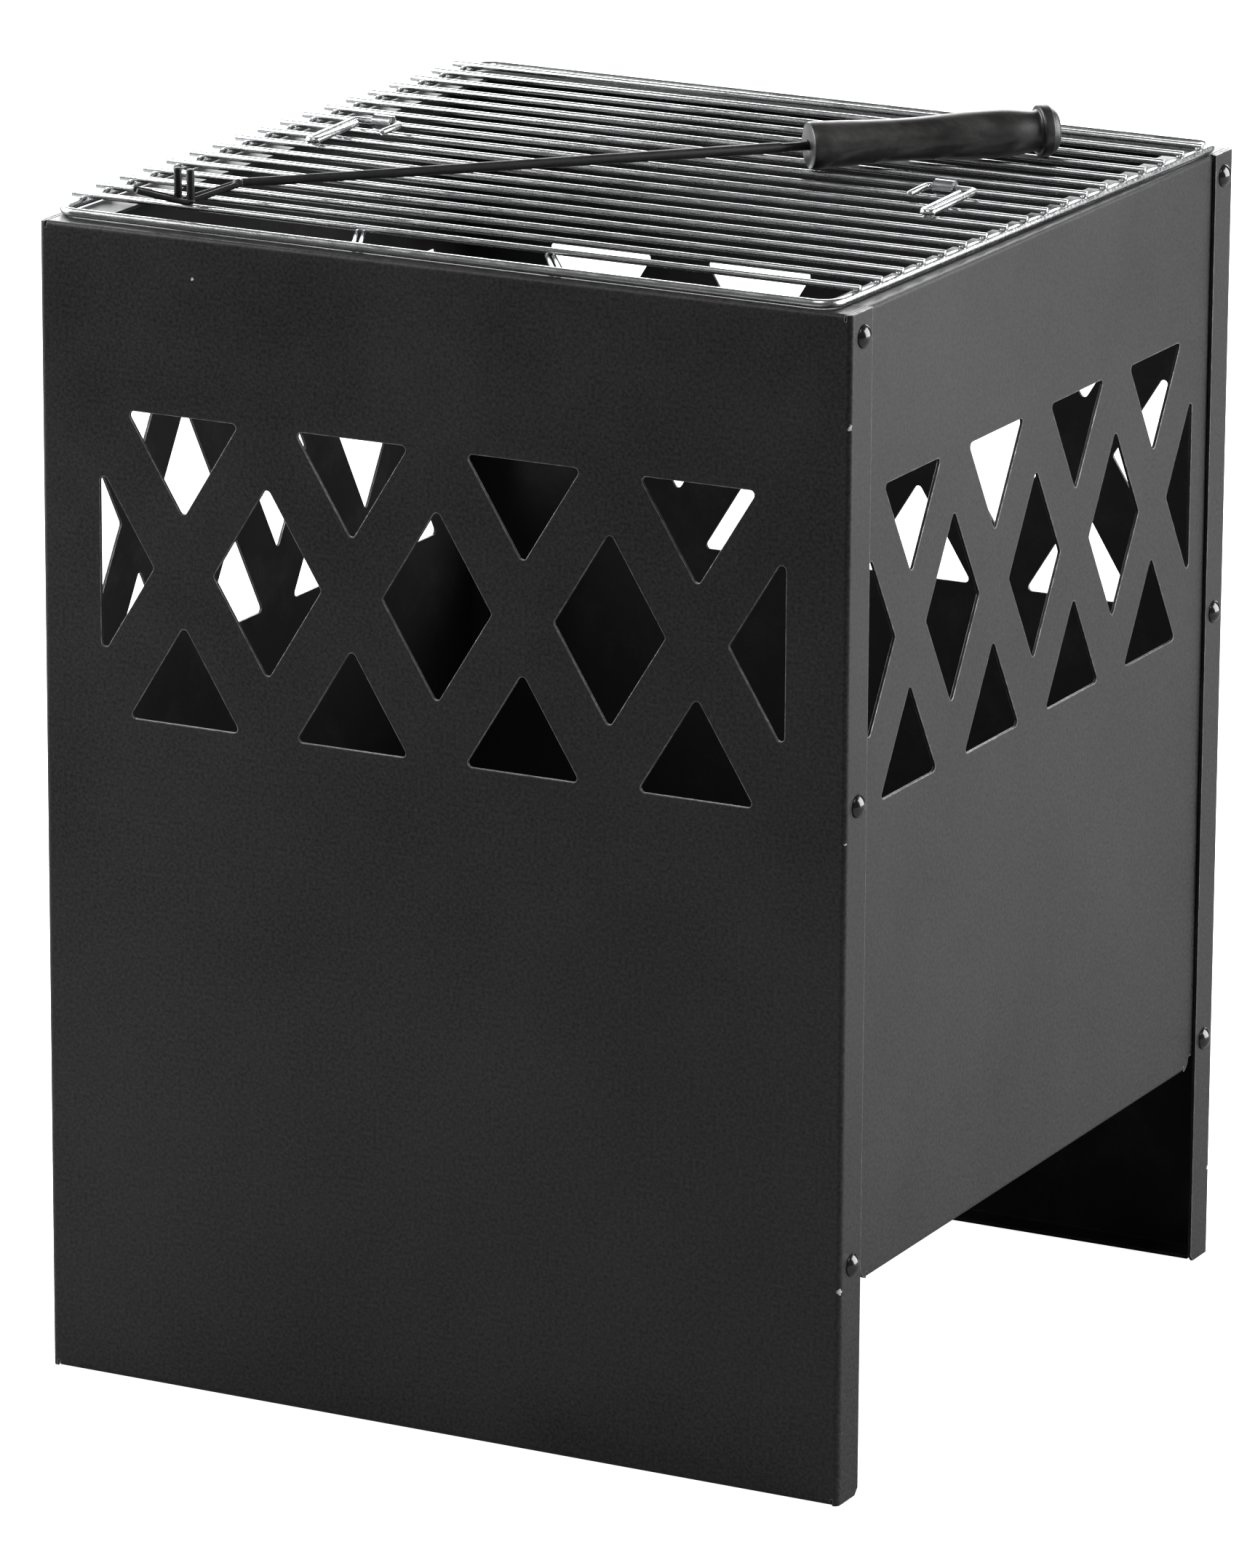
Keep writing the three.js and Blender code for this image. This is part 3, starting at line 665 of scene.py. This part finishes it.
def makeSidePanel(name, turned):
    height, ear, corner = box["height"], panel["ear"], panel["corner"]
    edge = box["half"] - sheet["thickness"] - sheet["clearance"]
    rimStart = height - panel["bend"]
    rimEnd = rimStart + bendAllowance(panel["bend"]) + panel["rim"] - panel["bend"]
    ledgeStart = panel["bottom"] + panel["bend"]
    ledgeEnd = ledgeStart - bendAllowance(panel["bend"]) - panel["rim"] + panel["bend"]
    slit = channel["slit"]
    arc = []
    arcSteps = 6
    for i in range(arcSteps + 1):
        angle = -pi / 2 + pi / 2 * i / arcSteps
        arc.append((ear - corner + corner * cos(angle), panel["bottom"] + corner + corner * sin(angle)))
    ledge = panel["ledgeHalf"]
    rightSide = [(ledge, ledgeEnd), (ledge, ledgeStart + slit), (ledge + slit, ledgeStart + slit),
                 (ledge + slit, panel["bottom"])]
    rightSide += [point for point in arc if point[0] > ledge + slit + 0.2 * mm]
    rightSide += [(edge, panel["bottom"] + corner), (edge, height), (panel["rimHalf"] + slit, height),
                  (panel["rimHalf"] + slit, rimStart - slit), (panel["rimHalf"], rimStart - slit),
                  (panel["rimHalf"], rimEnd)]
    outline = rightSide + [(-u, v) for u, v in reversed(rightSide)]
    holes = latticeOpenings(lattice, panel["latticeShift"])
    boltRun = box["half"] - boltPlaces["inset"]
    for z in boltPlaces["heights"].values():
        holes += [roundHole(boltRun, z, boltPlaces["hole"]), roundHole(-boltRun, z, boltPlaces["hole"])]
    work = flatBlank(name, outline, holes, sheet["thickness"], sheet["edge"])
    folds = [{"axis": 1, "at": rimStart, "side": 1, "radius": panel["bend"], "steps": 7,
              "reach": panel["rimHalf"] + slit / 2},
             {"axis": 1, "at": ledgeStart, "side": -1, "radius": panel["bend"], "steps": 7,
              "reach": ledge + slit / 2}]
    foldSheet(work, folds, sheet["thickness"])
    mesh = finishSheet(name, work)
    mesh.transform(Matrix.Rotation(-pi / 2 if turned else pi / 2, 4, "Z"))
    return mesh


def makeWalls():
    for side, turned in (("front", False), ("back", True)):
        name = side + "Plate"
        addObject(name, makeChannel(name, turned), blackCoat, "box", [side + "_plate"], 14)
    for side, turned in (("right", False), ("left", True)):
        name = side + "Panel"
        addObject(name, makeSidePanel(name, turned), blackCoat, "box", [side + "_panel"], 14)
    print("walls folded")


bolt = {"head": 5.25 * mm, "rise": 3.3 * mm, "rim": 0.5 * mm, "shank": 2.95 * mm, "length": 9.5 * mm,
        "chamfer": 0.5 * mm}
nut = {"flats": 10 * mm, "height": 5 * mm, "bore": 3.3 * mm, "chamfer": 0.7 * mm, "chamferSlope": 0.55}


def boltProfile():
    # a domed head: a low rim, then an arc of a sphere up to the crown
    crown = bolt["rise"] - bolt["rim"]
    ball = (bolt["head"] ** 2 + crown ** 2) / (2 * crown)
    profile = [(-bolt["length"], 0), (-bolt["length"], bolt["shank"] - bolt["chamfer"]),
               (-bolt["length"] + bolt["chamfer"], bolt["shank"]), (0, bolt["shank"]),
               (0, bolt["head"] - 0.15 * mm), (0.15 * mm, bolt["head"]), (bolt["rim"], bolt["head"])]
    spread = acos((ball - crown) / ball)
    steps = 10
    for i in range(1, steps + 1):
        angle = spread * (1 - i / steps)
        profile.append((bolt["rim"] + crown - ball + ball * cos(angle), ball * sin(angle)))
    return profile


def hexNut(name):
    # six flats with both ends chamfered round, and a round bore
    sides = 48
    across = nut["flats"] / 2
    corner = across / cos(pi / 6)
    rings = []
    cutDepth = nut["chamfer"] * nut["chamferSlope"]
    for along, cut in ((0, 1), (cutDepth, 0), (nut["height"] - cutDepth, 0), (nut["height"], 1)):
        ring = []
        for k in range(sides):
            angle = 2 * pi * k / sides
            flat = across / cos((angle + pi / 6) % (pi / 3) - pi / 6)
            radius = min(flat, corner - cut * nut["chamfer"])
            ring.append(Vector((-along, radius * cos(angle), radius * sin(angle))))
        rings.append(ring)
    rings += [ringAlongX(-along, nut["bore"], sides) for along in (nut["height"], 0)]
    return meshFromRings(name, rings, closedLoop=True)


def makeFasteners():
    profile = boltProfile()
    for end in ("front", "back"):
        for side, angle in (("right", 0), ("left", pi)):
            for level in boltPlaces["heights"]:
                place = f"{end}_{side}_{level}"
                turn = Matrix.Rotation(angle, 4, "Z")
                head = latheAlongX("bolt." + place, profile, 40)
                head.transform(turn)
                addObject("bolt." + place, head, blackBolt, "box", ["bolt_" + place], 40)
                ring = hexNut("nut." + place)
                ring.transform(turn)
                addObject("nut." + place, ring, zincNut, "box", ["nut_" + place], 25)
    print("bolts and nuts in")


def finishTray():
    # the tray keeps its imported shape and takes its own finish
    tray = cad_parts["fire_tray"]
    tray.data.materials.clear()
    tray.data.materials.append(rawTray)
    print("tray finished")


grate = {"turn": radians(-1.1), "width": 386 * mm,
         "frameWire": 2 * mm, "corner": 9 * mm, "bars": 18, "pitch": 20.2 * mm, "firstGap": 23 * mm,
         "barWire": 1.5 * mm, "overhang": 4 * mm, "lift": 0.3 * mm, "weld": 0.4 * mm,
         "bead": (1.7 * mm, 1.8 * mm, 0.6 * mm),
         "stays": ((-40 * mm, -11 * mm), (60 * mm, -16 * mm)), "stayWire": 1 * mm, "stayPitch": 3.4 * mm}
grate["frameLevel"] = grate["lift"] + grate["frameWire"]
grate["barLevel"] = grate["frameLevel"] + grate["frameWire"] - grate["weld"] + grate["barWire"]
grateTurn = Matrix.Rotation(grate["turn"], 4, "Z")


def barDepth(index):
    return -grate["width"] / 2 + grate["firstGap"] + grate["pitch"] * index


def weldBead(name, centre, size):
    # a small flattened bead of fused wire
    work = bmesh.new()
    bmesh.ops.create_icosphere(work, subdivisions=2, radius=1)
    work.transform(Matrix.Translation(centre) @ Matrix.Diagonal((*size, 1)))
    mesh = bpy.data.meshes.new(name)
    work.to_mesh(mesh)
    work.free()
    return mesh


def makeGrate():
    half, wire, level = grate["width"] / 2, grate["frameWire"], grate["barLevel"]
    plan = ((-half, -half), (half, -half), (half, half), (-half, half))
    corners = [Vector((x, y, grate["frameLevel"])) for x, y in plan]
    rim = roundedPath(corners, grate["corner"], 10, closed=True)
    meshes = [sweepWire("rim", rim, wire, 20, closed=True)]
    tipRoom = 0.5 * mm
    left = -half - wire - grate["overhang"] + tipRoom
    right = half + wire - tipRoom
    for i in range(grate["bars"]):
        y = barDepth(i)
        run = [Vector((left, y, level)), Vector((right, y, level))]
        meshes.append(sweepWire("bar", run, grate["barWire"], 18))
        for x in (-half, half):
            meshes.append(weldBead("weld", Vector((x, y, level - grate["barWire"])), grate["bead"]))
    underBar = level - grate["barWire"] + grate["weld"] - grate["stayWire"]
    for start, lean in grate["stays"]:
        for side in (-1, 1):
            x = start + side * grate["stayPitch"] / 2
            path = [Vector((x, -half, grate["frameLevel"])), Vector((x + lean, barDepth(0), underBar))]
            meshes.append(sweepWire("stay", path, grate["stayWire"], 12))
    grid = joinMeshes("grateGrid", meshes)
    grid.transform(grateTurn)
    addObject("grateGrid", grid, chromeWire, "grate", ["grate_grid"], 50)
    print("grate welded")


bail = {"length": 44 * mm, "splay": 15 * mm, "shortLeg": 17 * mm, "legPitch": 4.6 * mm, "wire": 1.5 * mm,
        "bend": 2.1 * mm, "drop": 1.7 * mm, "inner": 4 * mm, "tail": 7 * mm, "sleeveLength": 10 * mm,
        "sleeve": 3.5 * mm, "bore": 1.8 * mm, "chamfer": 0.3 * mm}


def makeBails():
    inner = -bail["sleeveLength"] / 2 - bail["inner"]
    near = bail["splay"] - bail["legPitch"]
    for name, side in (("left", -1), ("right", 1)):
        hinge = grateTurn @ Matrix.Diagonal((side, 1, 1, 1))
        corners = [
            Vector((inner, -bail["shortLeg"], -bail["drop"] * 0.4)), Vector((inner, 0, 0)),
            Vector((bail["splay"], 0, 0)), Vector((bail["splay"], -bail["length"], -bail["drop"])),
            Vector((near, -bail["length"], -bail["drop"])),
            Vector((near, -bail["tail"], -bail["drop"] * 0.2))]
        wire = sweepWire(name + "Bail", roundedPath(corners, bail["bend"], 6), bail["wire"], 16)
        wire.transform(hinge)
        faceOutwards(wire)
        addObject(name + "Bail", wire, chromeWire, name + "_bail", [name + "_bail"], 50)
        halfLength, outer, bore = bail["sleeveLength"] / 2, bail["sleeve"], bail["bore"]
        chamfer = bail["chamfer"]
        profile = [(-halfLength, bore), (-halfLength, outer - chamfer), (-halfLength + chamfer, outer),
                   (halfLength - chamfer, outer), (halfLength, outer - chamfer), (halfLength, bore)]
        rings = [ringAlongX(along, radius, 32) for along, radius in profile]
        sleeve = meshFromRings(name + "BailSleeve", rings, closedLoop=True)
        sleeve.transform(hinge)
        faceOutwards(sleeve)
        addObject(name + "BailSleeve", sleeve, chromeWire, "grate", [name + "_bail_sleeve"])
    print("bails hung")


lifter = {"turn": radians(43.9)}
claw = {"wire": 1.3 * mm, "reach": 22 * mm, "rise": 6.7 * mm, "pitch": 6.5 * mm, "prong": 1.8 * mm,
        "prongLength": 15 * mm, "stagger": 2.2 * mm, "bend": 5 * mm, "bead": (2.4 * mm, 2.2 * mm, 1.5 * mm),
        "shaftBead": (2.6 * mm, 2.9 * mm, 2 * mm)}
shaft = {"start": 26 * mm, "tip": 2 * mm, "butt": 2.5 * mm, "length": 250 * mm, "tang": 2 * mm,
         "tangGap": 13 * mm, "tangGrip": 30 * mm}
grip = {"knob": 12 * mm, "knobCentre": 113 * mm}


def bezier(a, b, c, d, steps=8):
    points = []
    for i in range(1, steps + 1):
        t = i / steps
        points.append(tuple(a[k] * (1 - t) ** 3 + 3 * b[k] * t * (1 - t) ** 2 + 3 * c[k] * t * t * (1 - t)
                            + d[k] * t ** 3 for k in (0, 1)))
    return points


def gripProfile():
    # flat front end, slim waist, swelling palm, neck and a rounded end knob
    bore = shaft["tang"] + 0.3 * mm
    depth = shaft["tangGrip"] + 0.6 * mm
    outer = [(0, 9.6), (0.35, 10.45), (1.4, 10.9)]
    outer += bezier((1.4, 10.9), (22, 10.6), (26, 9.7), (44, 9.7))
    outer += bezier((44, 9.7), (64, 9.7), (68, 11), (88, 11.1), 10)
    outer += bezier((88, 11.1), (98, 11.1), (101, 9.9), (107.6, 9.3))
    outer += bezier((107.6, 9.3), (108.7, 9.3), (108.9, 9.8), (109, 10.8), 5)
    outer += bezier((109, 10.8), (109.1, 11.8), (109.6, 12), (110.4, 12), 4)
    outer += [(113.2, 12)]
    outer += bezier((113.2, 12), (114, 12), (114.3, 11.6), (114.4, 10.9), 4)
    outer += bezier((114.4, 10.9), (116.6, 10.4), (118, 9), (118, 6.5), 6)
    outer += [(118, 3), (118, 0)]
    profile = [(depth, 0), (depth, bore), (0.5 * mm, bore), (0, bore + 0.5 * mm)]
    return profile + [(along * mm, radius * mm) for along, radius in outer]


def makeLifter():
    level = claw["wire"] + claw["rise"]
    handleStart = shaft["start"] + shaft["length"] + shaft["tangGap"]
    lean = atan((grip["knob"] - level) / (handleStart + grip["knobCentre"]))
    place = Matrix.Rotation(lifter["turn"], 4, "Z") @ Matrix.Rotation(-lean, 4, "Y")

    meshes = []
    for side in (-1, 1):
        y = side * claw["pitch"] / 2
        corners = [Vector((shaft["start"] - 0.3 * mm, side * (claw["wire"] + 0.15 * mm), level)),
                   Vector((0, y, claw["wire"])), Vector((-claw["reach"], y, level))]
        meshes.append(sweepWire("arm", roundedPath(corners, claw["bend"], 8), claw["wire"], 14))
        x, py = -side * claw["stagger"], y - side * (claw["prong"] - claw["wire"])
        top = claw["wire"] + claw["prongLength"] - 0.6 * mm
        run = [Vector((x, py, claw["wire"])), Vector((x, py, top))]
        meshes.append(sweepWire("prong", run, claw["prong"], 18))
        meshes.append(weldBead("weld", Vector((x, py, claw["wire"] + 0.5 * mm)), claw["bead"]))
    meshes.append(weldBead("weld", Vector((shaft["start"] - 1.5 * mm, 0, level)), claw["shaftBead"]))
    fork = joinMeshes("lifterFork", meshes)
    fork.transform(place)
    shift = Matrix.Translation(seatShift(fork, "lifter_fork"))
    fork.transform(shift)
    place = shift @ place
    addObject("lifterFork", fork, blackRod, "lifter", ["lifter_fork"], 50, seated=True)

    profile = [(0, 0), (0, shaft["tip"] - 0.4 * mm), (0.4 * mm, shaft["tip"])]
    profile += [(shaft["length"] - 0.5 * mm, shaft["butt"]), (shaft["length"] + 0.6 * mm, shaft["tang"])]
    end = shaft["length"] + shaft["tangGap"] + shaft["tangGrip"]
    profile += [(end, shaft["tang"]), (end, 0)]
    rod = latheAlongX("lifterShaft", profile, 28)
    rod.transform(place @ Matrix.Translation((shaft["start"], 0, level)))
    addObject("lifterShaft", rod, blackRod, "lifter", ["lifter_shaft"], 40, seated=True)

    handle = latheAlongX("lifterHandle", gripProfile(), 72)
    handle.transform(place @ Matrix.Translation((handleStart, 0, level)))
    addObject("lifterHandle", handle, lacqueredGrip(), "lifter", ["lifter_handle"], 40,
              seated=True)
    print("lifter laid on the grate")


def makeStage():
    floor = {"size": 40.0, "seen": (0.93, 0.93, 0.93), "bounce": (0.3, 0.3, 0.3), "glow": 0.95}
    mesh = bpy.data.meshes.new("floor")
    half = floor["size"] / 2
    corners = [(-half, -half, 0), (half, -half, 0), (half, half, 0), (-half, half, 0)]
    mesh.from_pydata(corners, [], [(0, 1, 2, 3)])
    plane = bpy.data.objects.new("floor", mesh)
    bpy.context.scene.collection.objects.link(plane)
    material, tree, shader = startMaterial("paleFloor")
    path = tree.nodes.new("ShaderNodeLightPath")
    seen = path.outputs["Is Camera Ray"]
    tree.links.new(mixColour(tree, seen, floor["bounce"], floor["seen"]), shader.inputs["Base Color"])
    shader.inputs["Roughness"].default_value = 0.9
    shader.inputs["Specular IOR Level"].default_value = 0.1
    shader.inputs["Emission Color"].default_value = (1, 1, 1, 1)
    tree.links.new(mathNode(tree, "MULTIPLY", seen, floor["glow"]), shader.inputs["Emission Strength"])
    mesh.materials.append(material)


def makeLights():
    centre = Vector((0, 0, 0.3))
    softboxes = {
        "sideBox": {"azimuth": 118, "elevation": 18, "distance": 2.8, "size": (2.4, 2.2), "power": 142},
        "topBox": {"azimuth": 5, "elevation": 58, "distance": 3.0, "size": (1.4, 1.4), "power": 26},
        "frontBox": {"azimuth": -76, "elevation": 26, "distance": 1.5, "size": (1.0, 1.2), "power": 44},
        "backBox": {"azimuth": 206, "elevation": 19, "distance": 4.2, "size": (4.4, 2.2), "power": 200},
    }
    for name, look in softboxes.items():
        azimuth, elevation = radians(look["azimuth"]), radians(look["elevation"])
        away = Vector((sin(azimuth) * cos(elevation), -cos(azimuth) * cos(elevation), sin(elevation)))
        light = bpy.data.lights.new(name, "AREA")
        light.shape = "RECTANGLE"
        light.size, light.size_y = look["size"]
        light.energy = look["power"]
        lamp = bpy.data.objects.new(name, light)
        bpy.context.scene.collection.objects.link(lamp)
        lamp.location = centre + away * look["distance"]
        lamp.rotation_euler = (-away).to_track_quat("-Z", "Y").to_euler()
        lamp.visible_camera = False
    world = bpy.data.worlds.new("studio")
    world.use_nodes = True
    background = world.node_tree.nodes["Background"]
    background.inputs["Color"].default_value = (1, 1, 1, 1)
    background.inputs["Strength"].default_value = 0.12
    bpy.context.scene.world = world
    bpy.context.scene.view_settings.view_transform = "Standard"
    print("lights up")


def makeCamera():
    view = {"place": Vector((1.83718, -3.5788, 1.38281)), "azimuth": 27.286, "elevation": 15.683,
            "roll": 0.327, "lens": 208.76}
    camera = bpy.data.cameras.new("camera")
    camera.sensor_fit = "VERTICAL"
    camera.sensor_height = 36
    camera.lens = view["lens"]
    camera.clip_end = 100
    eye = bpy.data.objects.new("camera", camera)
    bpy.context.scene.collection.objects.link(eye)
    azimuth, elevation = radians(view["azimuth"]), radians(view["elevation"])
    ahead = Vector((-sin(azimuth) * cos(elevation), cos(azimuth) * cos(elevation), -sin(elevation)))
    turn = ahead.to_track_quat("-Z", "Y").to_matrix() @ Matrix.Rotation(radians(view["roll"]), 3, "Z")
    eye.matrix_world = Matrix.Translation(view["place"]) @ turn.to_4x4()
    bpy.context.scene.camera = eye


makeWalls()
makeFasteners()
finishTray()
makeGrate()
makeBails()
makeLifter()
makeStage()
makeLights()
makeCamera()

print("scene ready")
